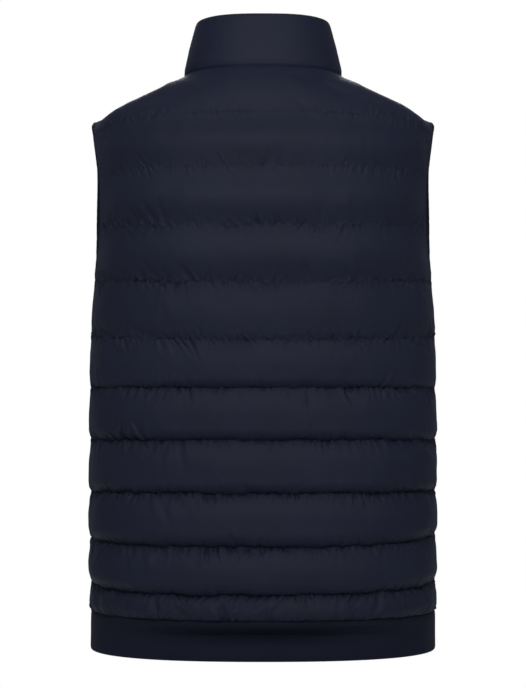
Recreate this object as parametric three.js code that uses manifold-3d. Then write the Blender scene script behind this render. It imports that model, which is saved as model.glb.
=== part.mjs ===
// A sleeveless quilted vest with a stand collar, a plain hem band and a front zip, filled out as if it were worn.
// Millimetres, +Z up, +Y towards the back, +X towards the wearer's left.
// The origin lies midway between the shoulders, level with the middle of each shoulder seam.
// The cloth is a set of walls. Their inside follows one smooth torso form, and the quilting is raised on the outside.

import * as THREE from "three";
import { mergeVertices } from "three/addons/utils/BufferGeometryUtils.js";
import Module from "manifold-3d";

const wasm = await Module();
wasm.setup();

// Driving sizes

const SEAM_GAP = 0.3; // between pieces that are sewn together
const NECK_GAP = 0.8; // wider, as the collar turns up from the panels
const SEAM_WALL = 3; // wall thickness where the wadding is stitched flat
const NECK = { half: 88, z: 25.5, rise: 5, drop: 70 }; // the neck seam: half its width, its height at the shoulders,
// its rise to the centre back and its fall to the centre front
const TIP = { half: 193, z: -26 }; // the outer end of each shoulder seam
const ARMHOLE = { back: 50, front: 45, seam: 4 }; // its reach behind and before the side seam, and the seam it ends on
const ROUNDNESS = { back: 2.4, front: 2.6 }; // superellipse exponents of the level sections
const COLLAR = { half: 71.5, back: 51, front: 62, z: 92, sideFall: 5, drop: 68 }; // the collar's top edge, inside
const HEM = { top: -586, bottom: -631 };
const ZIP = { gap: 6.3, tapeIn: 1.5, tapeOut: 6, tape: 1, chain: 2.8, teeth: 1.8 }; // half widths and thicknesses
const FALL = { neck: 1.2, collar: 1.6 }; // how late the neckline and the collar's top edge fall away in front
const SHOULDER_TILT = { back: 1, front: 1.15, seam: 0.2 }; // how steeply a panel leaves its top edge, radians
const SHOULDER_DIP = 3.5; // how far the middle of a shoulder seam sags
const BELOW = 4; // how far down the form its slope under the first seam is taken
const FOOT_LESS = 0.35; // how much thinner the collar's foot is than the panel it is sewn to
const SQUEEZE = 6; // least height of the top channel, where the front neckline cuts into it

// Level sections of the torso form, inside the cloth: half widths and depths from the side seams
const SECTIONS = [
  { z: 30.5, backHalf: 88, frontHalf: 88, back: 68, front: 24 },
  { z: 4, backHalf: 142, frontHalf: 142, back: 84, front: 53 },
  { z: -26, backHalf: 193, frontHalf: 193, back: 98, front: 70 },
  { z: -60, backHalf: 194, frontHalf: 199, back: 109, front: 85 },
  { z: -117, backHalf: 192, frontHalf: 200.5, back: 117, front: 103 },
  { z: -170, backHalf: 190.5, frontHalf: 196, back: 117, front: 112 },
  { z: -210, backHalf: 190.5, frontHalf: 190.5, back: 114, front: 115 },
  { z: -275, backHalf: 193.5, frontHalf: 193.5, back: 110, front: 115 },
  { z: -345, backHalf: 194.5, frontHalf: 194.5, back: 107, front: 112 },
  { z: -450, backHalf: 194.5, frontHalf: 194.5, back: 109, front: 110 },
  { z: -530, backHalf: 194.5, frontHalf: 194.5, back: 112, front: 110 },
  { z: -586, backHalf: 194.5, frontHalf: 194.5, back: 112, front: 109 },
  { z: -631, backHalf: 194.5, frontHalf: 194.5, back: 111, front: 108 },
];

// Quilting seams below the shoulders: heights at the centre back, the two side edges and the zip,
// and the wall thickness at the crest of the channel above each seam
const SEAMS = [
  { centre: -25, left: -43, right: -43, zip: -40, crest: 6.5 },
  { centre: -85, left: -89, right: -89, zip: -93, crest: 10 },
  { centre: -150, left: -149, right: -149, zip: -153, crest: 11 },
  { centre: -212, left: -210, right: -210, zip: -214, crest: 11 },
  { centre: -276, left: -271, right: -271, zip: -276, crest: 12 },
  { centre: -329, left: -332, right: -332, zip: -335, crest: 12 },
  { centre: -387, left: -391, right: -391, zip: -394, crest: 14 },
  { centre: -446, left: -449, right: -449, zip: -452, crest: 14 },
  { centre: -505, left: -504, right: -500, zip: -508, crest: 14 },
  { centre: -558, left: -553, right: -548, zip: -560, crest: 14 },
  { centre: HEM.top, left: HEM.top, right: HEM.top, zip: HEM.top, crest: 11 },
];

// Steps down a channel, and how full it is there, from one seam to the next
const CHANNEL_STEPS = [
  { t: 0, fill: 0 },
  { t: 0.1, fill: 0.5 },
  { t: 0.35, fill: 0.93 },
  { t: 0.65, fill: 1 },
  { t: 0.9, fill: 0.6 },
];
const TOP_STEPS = [
  { t: 0, fill: 0 },
  { t: 0.06, fill: 0.2 },
  { t: 0.2, fill: 0.6 },
  { t: 0.45, fill: 1 },
  { t: 0.75, fill: 0.9 },
];
const COLLAR_ROWS = [
  { up: 0.12, inset: 0, outer: 4.6 },
  { up: 0.5, inset: 0, outer: 5.6 },
  { up: 0.88, inset: 0, outer: 5.2 },
  { up: 0.975, inset: 0.7, outer: 4.2 },
  { up: 1, inset: 1.8, outer: 3 },
];
const HEM_ROWS = [
  { z: HEM.top - SEAM_GAP, inset: 0, outer: 3 },
  { z: HEM.top - 4, inset: 0, outer: 4.6 },
  { z: HEM.top - 12, inset: 0, outer: 2.9 },
  { z: HEM.top - 24, inset: 0, outer: 3.9 },
  { z: HEM.bottom + 4, inset: 0, outer: 4 },
  { z: HEM.bottom + 1, inset: 0.6, outer: 3.4 },
  { z: HEM.bottom, inset: 1.4, outer: 2.6 },
];
const BINDING = [
  { out: 0.5, thick: 0.2 },
  { out: 1.3, thick: 2.2 },
  { out: 1.8, thick: 3.8 },
  { out: 3.6, thick: 3.4 },
  { out: 4.6, thick: 1.6 },
  { out: 3.6, thick: -0.4 },
  { out: 1.8, thick: -0.8 },
]; // the section of the armhole binding, from the panel's edge outwards and through the cloth

const COLUMNS = 14; // across half the back, and across each front
const SIDE_FADE = 5; // over how many of them the quilting flattens towards the side seam and the armhole
const NECK_COLUMNS = 5; // of those, the ones that end on the neckline
const HALF_PI = Math.PI / 2;
const STEP = { across: 1e-3, down: 0.02 }; // between the points that give a direction

const mix = (a, b, f) => a + (b - a) * f;
const ramp = (x) => {
  const f = Math.min(Math.max(x, 0), 1);
  return f * f * (3 - 2 * f);
};

// A column of a table at height z, joined by smooth cubics
function along(table, column, z) {
  const last = table.length - 1;
  if (z >= table[0].z) return table[0][column];
  if (z <= table[last].z) return table[last][column];
  const i = table.findIndex((row, r) => r < last && z > table[r + 1].z);
  const slope = (r) => {
    const [above, below] = [table[Math.max(r - 1, 0)], table[Math.min(r + 1, last)]];
    return (below[column] - above[column]) / (below.z - above.z);
  };
  const [a, b] = [table[i], table[i + 1]];
  const h = b.z - a.z;
  const f = (z - a.z) / h;
  const value = a[column] * (1 + 2 * f) * (1 - f) ** 2 + b[column] * f * f * (3 - 2 * f);
  return value + h * f * (1 - f) * (slope(i) * (1 - f) - slope(i + 1) * f);
}

// The torso form: side is "back" or "front", hand is 1 on the wearer's left and -1 on the right

function halfWidth(side, z) {
  if (z < TIP.z) return along(SECTIONS.slice(2), side + "Half", z);
  return Math.max(mix(TIP.half, NECK.half, (z - TIP.z) / (NECK.z - TIP.z)), NECK.half);
}

const depth = (side, z) => along(SECTIONS, side, z);

function onForm(side, x, z) {
  const n = ROUNDNESS[side];
  const share = Math.min(Math.abs(x) / halfWidth(side, z), 1);
  const y = Math.max(depth(side, z) * (1 - share ** n) ** (1 / n), SEAM_GAP / 2);
  return new THREE.Vector3(x, side === "back" ? y : -y, z);
}

// Height of quilting seam k, counted from 1, a share s of the way from the middle of a panel to its side
function seamHeight(side, s, hand, k) {
  const seam = SEAMS[k - 1];
  const edge = hand > 0 ? seam.left : seam.right;
  const height = mix(side === "back" ? seam.centre : seam.zip, edge, s * s);
  return side === "front" && k === 1 ? Math.min(height, topEdge(side, s).z - SQUEEZE) : height;
}

// How far the panel's side edge lies from the side seam plane, at height z
function edgeDepth(side, z) {
  const foot = SEAMS[ARMHOLE.seam - 1].left;
  const [middle, half] = [(TIP.z + foot) / 2, (TIP.z - foot) / 2];
  const share = Math.min(Math.abs(z - middle) / half, 1);
  return Math.max(ARMHOLE[side] * Math.sqrt(1 - share * share), SEAM_GAP / 2);
}

// The x of the column s at height z
function spread(side, s, z) {
  const n = ROUNDNESS[side];
  const half = halfWidth(side, z);
  const edge = Math.acos((edgeDepth(side, z) / depth(side, z)) ** (n / 2));
  const inner = side === "front" ? Math.asin((ZIP.gap / half) ** (n / 2)) : 0;
  return half * Math.sin(mix(inner, edge, s)) ** (2 / n);
}

const neckShare = (s) => (s * COLUMNS) / NECK_COLUMNS;

// The top edge of a panel: along the neckline, then along the shoulder seam
function topEdge(side, s) {
  const f = neckShare(s);
  if (f > 1) {
    const out = (s * COLUMNS - NECK_COLUMNS) / (COLUMNS - NECK_COLUMNS);
    return { x: mix(NECK.half, TIP.half, out), z: mix(NECK.z, TIP.z, out) - SHOULDER_DIP * Math.sin(Math.PI * out) };
  }
  const turn = side === "front" ? mix(Math.asin(ZIP.gap / NECK.half), HALF_PI, f) : f * HALF_PI;
  const middle = Math.max(Math.cos(turn), 0);
  const fall = side === "front" ? NECK.drop * middle ** FALL.neck : -NECK.rise * middle;
  return { x: NECK.half * Math.sin(turn), z: NECK.z - fall };
}

// A point on the inside of a panel: s across, and t down channel k, counted from 0
function place(side, s, hand, k, t) {
  if (k > 0) {
    const z = mix(seamHeight(side, s, hand, k), seamHeight(side, s, hand, k + 1), t);
    return onForm(side, hand * spread(side, s, z), z);
  }
  const top = topEdge(side, s);
  const foot = seamHeight(side, s, hand, 1);
  const start = onForm(side, hand * top.x, top.z);
  if (neckShare(s) > 1) start.y = Math.sign(start.y) * (SEAM_GAP / 2);
  const end = onForm(side, hand * spread(side, s, foot), foot);
  const down = onForm(side, hand * spread(side, s, foot - BELOW), foot - BELOW).sub(end).normalize();
  const tilt = mix(SHOULDER_TILT[side], SHOULDER_TILT.seam, Math.min(neckShare(s), 1) ** 2);
  const leave = new THREE.Vector3(0, (side === "back" ? 1 : -1) * Math.cos(tilt), -Math.sin(tilt));
  const length = start.distanceTo(end);
  return start
    .multiplyScalar((1 + 2 * t) * (1 - t) ** 2)
    .addScaledVector(end, t * t * (3 - 2 * t))
    .addScaledVector(leave, length * t * (1 - t) ** 2)
    .addScaledVector(down, -length * t * t * (1 - t));
}

// The outward normal of the form at the same place
function normal(side, s, hand, k, t) {
  const [s0, s1] = [Math.max(s - STEP.across, 0), Math.min(s + STEP.across, 1)];
  const [t0, t1] = [Math.max(t - STEP.down, 0), Math.min(t + STEP.down, 1)];
  const across = place(side, s1, hand, k, t).sub(place(side, s0, hand, k, t));
  const down = place(side, s, hand, k, t1).sub(place(side, s, hand, k, t0));
  const made = across.cross(down).normalize();
  return made.multiplyScalar(side === "back" ? hand : -hand);
}

// How much of the wadding is left near a panel's edges
function pinch(side, s, k) {
  const bound = k < ARMHOLE.seam ? 0 : 0.2;
  const atSide = mix(bound, 1, ramp((1 - s) * COLUMNS / SIDE_FADE));
  return side === "front" ? atSide * mix(0.3, 1, ramp(s * COLUMNS * 0.6)) : atSide;
}

// The rows of a panel from top to bottom, each {k, t, fill}. Below the armholes its inside has only the seams.
const PANEL_ROWS = SEAMS.flatMap((_, k) => (k ? CHANNEL_STEPS : TOP_STEPS).map((step) => ({ k, ...step })));
PANEL_ROWS.push({ k: SEAMS.length - 1, t: 1, fill: 0 });
const INNER_ROWS = PANEL_ROWS.flatMap((row, r) => (row.fill && row.k >= ARMHOLE.seam ? [] : [r]));

function wallPoint(side, s, hand, row) {
  const inside = place(side, s, hand, row.k, row.t);
  const out = normal(side, s, hand, row.k, row.t);
  const height = seamHeight(side, s, hand, 1);
  const room = row.k ? 1 : ramp((topEdge(side, s).z - height - SQUEEZE) / (3 * SQUEEZE));
  const puff = (SEAMS[row.k].crest - SEAM_WALL) * row.fill * pinch(side, s, row.k) * room;
  return { inside, out, outside: inside.clone().addScaledVector(out, SEAM_WALL + puff) };
}

// Solids

// A closed geometry from points and triangles, turned so that its faces point outwards
function closed(points, triangles) {
  const volume = triangles.reduce((sum, [a, b, c]) => {
    const turned = new THREE.Vector3().crossVectors(points[b], points[c]);
    return sum + points[a].dot(turned);
  }, 0);
  const index = triangles.flatMap(([a, b, c]) => (volume < 0 ? [a, c, b] : [a, b, c]));
  return new THREE.BufferGeometry().setFromPoints(points).setIndex(index);
}

// A wall between two grids of points. The inside may keep fewer rows: kept lists the outer rows it shares.
function wall(outer, inner, kept = outer.map((_, r) => r)) {
  const points = [...outer.flat(), ...inner.flat()];
  const columns = outer[0].length;
  const o = (r, c) => r * columns + c;
  const i = (r, c) => (outer.length + r) * columns + c;
  const triangles = [];
  const quad = (a, b, c, d) => {
    const left = points[a].x + points[c].x > 0; // the two hands are split along mirrored diagonals
    triangles.push(...(left ? [[a, b, d], [b, c, d]] : [[a, b, c], [a, c, d]]));
  };
  for (let c = 0; c < columns - 1; c++) {
    for (let r = 0; r < outer.length - 1; r++) quad(o(r, c), o(r + 1, c), o(r + 1, c + 1), o(r, c + 1));
    for (let r = 0; r < inner.length - 1; r++) quad(i(r, c), i(r, c + 1), i(r + 1, c + 1), i(r + 1, c));
    quad(o(0, c), o(0, c + 1), i(0, c + 1), i(0, c));
    const [lastOut, lastIn] = [outer.length - 1, inner.length - 1];
    quad(o(lastOut, c), i(lastIn, c), i(lastIn, c + 1), o(lastOut, c + 1));
  }
  for (const [c, turn] of [[0, 1], [columns - 1, -1]]) {
    const face = (a, b, d) => triangles.push(turn > 0 ? [a, b, d] : [a, d, b]);
    for (let r = 0; r < inner.length - 1; r++) {
      const middle = Math.floor((kept[r] + kept[r + 1] + 1) / 2);
      for (let q = kept[r]; q < kept[r + 1]; q++) face(o(q, c), i(q < middle ? r : r + 1, c), o(q + 1, c));
      face(o(middle, c), i(r, c), i(r + 1, c));
    }
  }
  return closed(points, triangles);
}

// A closed loop of equal sections
function loop(sections) {
  const size = sections[0].length;
  const triangles = [];
  sections.forEach((_, r) => {
    const next = (r + 1) % sections.length;
    for (let c = 0; c < size; c++) {
      const d = (c + 1) % size;
      triangles.push([r * size + c, next * size + c, next * size + d], [r * size + c, next * size + d, r * size + d]);
    }
  });
  return closed(sections.flat(), triangles);
}

// A box, given by the middle of each side and its sizes, as a solid that can be joined
function solid(geometry) {
  const bare = geometry.index ? geometry.toNonIndexed() : geometry;
  bare.deleteAttribute("normal");
  bare.deleteAttribute("uv");
  const merged = mergeVertices(bare, 1e-4);
  const mesh = { numProp: 3, vertProperties: merged.attributes.position.array, triVerts: merged.index.array };
  return new wasm.Manifold(new wasm.Mesh({ ...mesh, triVerts: new Uint32Array(mesh.triVerts) }));
}

const block = ([x0, x1], [y0, y1], [z0, z1]) =>
  solid(new THREE.BoxGeometry(x1 - x0, y1 - y0, z1 - z0).translate((x0 + x1) / 2, (y0 + y1) / 2, (z0 + z1) / 2));

function joined(solids) {
  const mesh = solids.reduce((sum, next) => sum.add(next)).getMesh();
  const made = new THREE.BufferGeometry();
  made.setAttribute("position", new THREE.BufferAttribute(mesh.vertProperties, 3));
  return made.setIndex(new THREE.BufferAttribute(mesh.triVerts, 1));
}

// Materials

const shell = new THREE.MeshStandardMaterial({ color: 0x1e202d, roughness: 0.55, metalness: 0 });
const band = new THREE.MeshStandardMaterial({ color: 0x161724, roughness: 0.8, metalness: 0 });
const zipTape = new THREE.MeshStandardMaterial({ color: 0x151622, roughness: 0.9, metalness: 0 });
const zipTeeth = new THREE.MeshStandardMaterial({ color: 0x191b28, roughness: 0.5, metalness: 0 });
const zipMetal = new THREE.MeshStandardMaterial({ color: 0x1d1f2a, roughness: 0.35, metalness: 0.4 });

const vest = new THREE.Group();

function add(name, geometry, material, parent = vest) {
  const mesh = new THREE.Mesh(geometry, material);
  mesh.name = name;
  parent.add(mesh);
  return mesh;
}

// Columns round the body, from the zip over the wearer's left side and the back to the zip again
function columnsRound(most) {
  const steps = Array.from({ length: most + 1 }, (_, c) => c / COLUMNS);
  const column = (side, hand) => (s) => ({ side, hand, s });
  const down = [...steps].reverse();
  return [
    ...steps.map(column("front", 1)),
    ...down.map(column("back", 1)),
    ...steps.slice(1).map(column("back", -1)),
    ...down.map(column("front", -1)),
  ];
}

// Body panels

function panel(name, columns) {
  const grid = PANEL_ROWS.map((row) => columns.map(({ side, s, hand }) => wallPoint(side, s, hand, row)));
  const outer = grid.map((row) => row.map((point) => point.outside));
  const inner = INNER_ROWS.map((r) => grid[r].map((point) => point.inside));
  add(name, wall(outer, inner, INNER_ROWS), shell);
}

const round = columnsRound(COLUMNS);
panel("back", round.filter(({ side }) => side === "back"));
panel("front_left", round.filter(({ side, hand }) => side === "front" && hand > 0));
panel("front_right", round.filter(({ side, hand }) => side === "front" && hand < 0));

// Stand collar

// The collar's inside at share s from the middle, at height share up from the neck seam to the top edge
function collarPoint(side, s, hand, up) {
  const seam = place(side, s, hand, 0, 0);
  const f = neckShare(s);
  const turn = side === "front" ? mix(Math.asin(ZIP.gap / COLLAR.half), HALF_PI, f) : f * HALF_PI;
  const x = COLLAR.half * Math.sin(turn);
  const n = ROUNDNESS[side];
  const y = COLLAR[side] * Math.max(1 - (x / COLLAR.half) ** n, 0) ** (1 / n);
  const fall = side === "front" ? COLLAR.drop * Math.max(Math.cos(turn), 0) ** FALL.collar : 0;
  const z = COLLAR.z - fall - COLLAR.sideFall * (side === "front" ? 1 : Math.sin(turn) ** 4);
  return seam.lerp(new THREE.Vector3(hand * x, side === "back" ? y : -y, z), up);
}

// The direction from a panel's neck edge to the collar, across the neck seam
function awayFromPanel(side, s, hand) {
  const edge = place(side, s, hand, 0, 0);
  const along = edge.clone().sub(place(side, s ? s - STEP.across : STEP.across, hand, 0, 0));
  const away = normal(side, s, hand, 0, 0).cross(along).normalize();
  return away.dot(new THREE.Vector3(-edge.x, -edge.y, COLLAR.z)) < 0 ? away.negate() : away;
}

function collar() {
  const columns = columnsRound(NECK_COLUMNS);
  const at = (c, up) => collarPoint(columns[c].side, columns[c].s, columns[c].hand, up);
  const rows = COLLAR_ROWS.map(({ up, inset, outer }) =>
    columns.map((_, c) => {
      const inside = at(c, up);
      const [before, after] = [at(Math.max(c - 1, 0), up), at(Math.min(c + 1, columns.length - 1), up)];
      const out = after.sub(before).cross(at(c, 1).sub(at(c, 0))).normalize();
      return { inside: inside.clone().addScaledVector(out, inset), outside: inside.clone().addScaledVector(out, outer) };
    }),
  );
  const foot = columns.map(({ side, s, hand }) => {
    const { inside, outside } = wallPoint(side, s, hand, PANEL_ROWS[0]);
    const rise = awayFromPanel(side, s, hand).multiplyScalar(NECK_GAP);
    return { inside: inside.clone().add(rise), outside: outside.lerp(inside, FOOT_LESS).add(rise) };
  });
  const grid = [foot, ...rows];
  return wall(
    grid.map((row) => row.map((point) => point.outside)),
    grid.map((row) => row.map((point) => point.inside)),
  );
}

add("collar", collar(), shell);

// Hem band

function hemBand() {
  const at = ({ side, s, hand }, z) => onForm(side, hand * spread(side, s, z), z);
  const grid = HEM_ROWS.map(({ z, inset, outer }) =>
    round.map((column) => {
      const inside = at(column, z);
      const out = normal(column.side, column.s, column.hand, SEAMS.length - 1, 1);
      return { inside: inside.clone().addScaledVector(out, inset), outside: inside.addScaledVector(out, outer) };
    }),
  );
  return wall(
    grid.map((row) => row.map((point) => point.outside)),
    grid.map((row) => row.map((point) => point.inside)),
  );
}

add("hem_band", hemBand(), band);

// Armhole bindings

function binding(hand) {
  const rows = PANEL_ROWS.filter(({ k, t }) => k < ARMHOLE.seam || (k === ARMHOLE.seam && t === 0));
  const edge = (side) => rows.map((row) => wallPoint(side, 1, hand, row));
  const ring = [...edge("back"), ...edge("front").reverse().slice(1, -1)];
  const sections = ring.map(({ inside, out }, r) => {
    const [before, after] = [ring.at(r - 1), ring[(r + 1) % ring.length]];
    const away = out.clone().cross(after.inside.clone().sub(before.inside)).normalize().multiplyScalar(-hand);
    return BINDING.map((corner) =>
      inside.clone().addScaledVector(away, corner.out).addScaledVector(out, corner.thick),
    );
  });
  return loop(sections);
}

add("armhole_binding_left", binding(1), band);
add("armhole_binding_right", binding(-1), band);

// Front zip, along the centre front from the hem to the top of the collar

const neckFront = new THREE.Vector2(-depth("front", NECK.z - NECK.drop), NECK.z - NECK.drop);
const collarFront = new THREE.Vector2(-COLLAR.front, COLLAR.z - COLLAR.sideFall - COLLAR.drop);
const collarRun = collarFront.clone().sub(neckFront);
const BODY_STATIONS = 20;
const ZIP_END = { hem: 1.5, collar: 3.5 }; // how far the tape stops short of the hem's and the collar's edges

const zipLine = Array.from({ length: BODY_STATIONS + 1 }, (_, i) => {
  const z = mix(HEM.bottom + ZIP_END.hem, neckFront.y, i / BODY_STATIONS);
  return new THREE.Vector2(-depth("front", z), z);
});
zipLine.push(neckFront.clone().addScaledVector(collarRun, 0.5));
zipLine.push(neckFront.clone().addScaledVector(collarRun, 1 - ZIP_END.collar / collarRun.length()));

// A strip along the zip line, from x0 to x1 and from one height over the inside of the cloth to another
function strip(line, [x0, x1], [low, high]) {
  const grids = [high, low].map((height) =>
    line.map((point, i) => {
      const run = line[Math.min(i + 1, line.length - 1)].clone().sub(line[Math.max(i - 1, 0)]).normalize();
      const [y, z] = [point.x - run.y * height, point.y + run.x * height];
      return [new THREE.Vector3(x0, y, z), new THREE.Vector3(x1, y, z)];
    }),
  );
  return wall(...grids);
}

const SLIDER = { half: 4.4, length: 10, plate: 1.4, post: 1, postLength: 2, below: 16 };
const BOX = { half: 4.6, height: 9, thick: 3 };
const chainBase = ZIP.tape + SEAM_GAP;
const chainTop = chainBase + ZIP.teeth;

// The chain starts over the bottom box and ends under the slider's post
const sliderShare = 1 - SLIDER.below / collarRun.length();
const sliderAt = neckFront.clone().addScaledVector(collarRun, sliderShare);
const chainEnd = SLIDER.length / 2 - SLIDER.postLength - SEAM_GAP;
const onCollar = (distance) => sliderAt.clone().addScaledVector(collarRun.clone().normalize(), distance);
const chainLine = zipLine.slice(0, -1);
chainLine[0] = zipLine[0].clone().lerp(zipLine[1], (BOX.height + SEAM_GAP) / zipLine[0].distanceTo(zipLine[1]));
chainLine.push(onCollar(chainEnd));

add("zip_tape_left", strip(zipLine, [ZIP.tapeIn, ZIP.tapeOut], [0, ZIP.tape]), zipTape);
add("zip_tape_right", strip(zipLine, [-ZIP.tapeOut, -ZIP.tapeIn], [0, ZIP.tape]), zipTape);
add("zip_chain", strip(chainLine, [-ZIP.chain, ZIP.chain], [chainBase, chainTop]), zipTeeth);

const boxLine = [zipLine[0], zipLine[0].clone().lerp(zipLine[1], BOX.height / zipLine[0].distanceTo(zipLine[1]))];
add("zip_box", strip(boxLine, [-BOX.half, BOX.half], [chainBase, chainBase + BOX.thick]), zipMetal);

// Slider and top stops, in a group that lies on the collar's front with its own -Y outwards

const fitting = new THREE.Group();
fitting.position.set(0, sliderAt.x, sliderAt.y);
fitting.rotation.x = -Math.atan2(collarRun.x, collarRun.y);
vest.add(fitting);

const PULL = { over: 1.25, bar: 1.4, hole: 4.4, holeHalf: 1.3, neckHalf: 2.8, half: 3.4, length: 27 };
const ARCH = { half: 0.8, inner: 1.5, wall: 1.2 };
const plateFront = chainTop + SEAM_GAP + SLIDER.plate;
const axisOut = plateFront + PULL.over;

function slider() {
  const { half, length, plate, post, postLength } = SLIDER;
  const run = [-length / 2, length / 2];
  const arch = [-ARCH.inner - ARCH.wall, ARCH.inner + ARCH.wall];
  const archTop = axisOut + PULL.over;
  return joined([
    block([-half, half], [-plateFront, -plateFront + plate], run),
    block([-half, -half + 1.2], [-plateFront, -chainBase], run),
    block([half - 1.2, half], [-plateFront, -chainBase], run),
    block([-half, half], [SEAM_GAP, SEAM_GAP + plate], run),
    block([-post, post], [-plateFront, SEAM_GAP + plate], [length / 2 - postLength, length / 2]),
    block([-ARCH.half, ARCH.half], [-archTop, -plateFront + 0.2], [arch[0], -ARCH.inner]),
    block([-ARCH.half, ARCH.half], [-archTop, -plateFront + 0.2], [ARCH.inner, arch[1]]),
    block([-ARCH.half, ARCH.half], [-archTop - ARCH.wall, -archTop], arch),
  ]);
}

add("zip_slider", slider(), zipMetal, fitting);

const STOP = { from: SLIDER.length / 2 + 0.6, length: 2.6, in: 1.6, out: 3.8, thick: 1.6 };
for (const [side, hand] of [["left", 1], ["right", -1]]) {
  const across = [hand * STOP.in, hand * STOP.out].sort((a, b) => a - b);
  const stop = block(across, [-chainBase - STOP.thick, -chainBase], [STOP.from, STOP.from + STOP.length]);
  add("zip_stop_" + side, joined([stop]), zipMetal, fitting);
}

// Pull tab, hanging from the slider's arch and turning about the arch's middle

function pullTab() {
  const { bar, hole, holeHalf, neckHalf, half, length } = PULL;
  const outline = new THREE.Shape();
  outline.moveTo(-neckHalf, bar / 2).lineTo(-neckHalf, -hole - 2).lineTo(-half, -hole - 6);
  outline.lineTo(-half, -length + half).absarc(0, -length + half, half, Math.PI, 2 * Math.PI, false);
  outline.lineTo(half, -hole - 6).lineTo(neckHalf, -hole - 2).lineTo(neckHalf, bar / 2).closePath();
  const opening = new THREE.Path();
  opening.moveTo(-holeHalf, -bar / 2).lineTo(holeHalf, -bar / 2).lineTo(holeHalf, -hole).lineTo(-holeHalf, -hole);
  outline.holes.push(opening.closePath());
  const made = new THREE.ExtrudeGeometry(outline, { depth: bar, bevelEnabled: false, curveSegments: 10 });
  return joined([solid(made.translate(0, 0, -bar / 2).rotateX(HALF_PI))]);
}

const tab = add("zip_pull", pullTab(), zipMetal, fitting);
tab.position.y = -axisOut;

export default vest;
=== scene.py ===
"""A quilted vest's cloth, stitching, zip and studio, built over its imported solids.

Lengths in the tables are millimetres. Everything else in the scene is metres.
+Y is towards the back, +X towards the wearer's left.
"""

import math

import bpy
import numpy as np
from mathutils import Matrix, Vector


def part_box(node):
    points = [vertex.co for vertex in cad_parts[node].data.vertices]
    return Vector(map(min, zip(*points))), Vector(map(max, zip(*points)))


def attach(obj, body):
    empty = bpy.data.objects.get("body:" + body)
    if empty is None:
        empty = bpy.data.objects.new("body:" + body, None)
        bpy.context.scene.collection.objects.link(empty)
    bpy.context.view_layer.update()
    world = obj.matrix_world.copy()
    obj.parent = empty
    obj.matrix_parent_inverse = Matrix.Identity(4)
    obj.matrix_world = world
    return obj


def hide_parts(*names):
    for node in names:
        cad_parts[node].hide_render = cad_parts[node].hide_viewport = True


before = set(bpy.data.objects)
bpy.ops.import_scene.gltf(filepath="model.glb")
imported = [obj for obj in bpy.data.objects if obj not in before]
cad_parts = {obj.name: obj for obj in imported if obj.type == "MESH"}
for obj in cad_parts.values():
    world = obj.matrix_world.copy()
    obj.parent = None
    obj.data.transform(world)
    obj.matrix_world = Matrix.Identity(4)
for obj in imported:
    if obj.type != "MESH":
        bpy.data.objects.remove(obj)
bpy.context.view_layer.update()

MM = 0.001

# Sizes of the vest, which are its solids' but for the collar's falls and the shoulders' dip

NECK_HALF = 88
NECK_Z = 25.5
NECK_RISE = 5  # of the neckline at the centre back
NECK_DROP = 70  # of the neckline at the zip
TIP_HALF = 193
TIP_Z = -26
SHOULDER_DIP = 8  # of the shoulder seam under a straight line
REACH = {"back": 50, "front": 45}  # of the armhole, behind and before the side seam
ARMHOLE_SEAM = 4  # the quilting seam at the armhole's foot, counted from 1
ROUNDNESS = {"back": 2.4, "front": 2.6}
OUTWARDS = {"back": 1, "front": -1}
COLLAR = {"half": 71.5, "back": 51, "front": 62, "z": 92, "side_fall": 3, "drop": 70}
FALL = {"neck": 1.2, "collar": 1.6}
TILT = {"back": 1.0, "front": 1.15, "seam": 0.2}  # of the cloth as it leaves the top edge
BELOW = 4  # the slope at the first seam is read over this height
SQUEEZE = 6
ZIP_GAP = 6.3
SEAM_GAP = 0.04
HEM_TOP = -586
HEM_BOTTOM = -631
NECK_END = 5 / 14  # the share of a panel's width at which its neckline ends
SIDE_FADE = 5 / 14  # over this share the quilting flattens towards the side
SEAM_WALL = 3

# Level sections of the torso form: height, half widths behind and before, depths behind and before
SECTIONS = np.array(
    [
        (30.5, 88, 88, 68, 24),
        (4, 142, 142, 84, 53),
        (-26, 193, 193, 98, 70),
        (-60, 194, 199, 109, 85),
        (-117, 192, 200.5, 117, 103),
        (-170, 190.5, 196, 117, 112),
        (-210, 190.5, 190.5, 114, 115),
        (-275, 193.5, 193.5, 110, 115),
        (-345, 194.5, 194.5, 107, 112),
        (-450, 194.5, 194.5, 109, 110),
        (-530, 194.5, 194.5, 112, 110),
        (-586, 194.5, 194.5, 112, 109),
        (-631, 194.5, 194.5, 111, 108),
    ],
    float,
)
HALF_COLUMN = {"back": 1, "front": 2}
DEPTH_COLUMN = {"back": 3, "front": 4}

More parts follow.
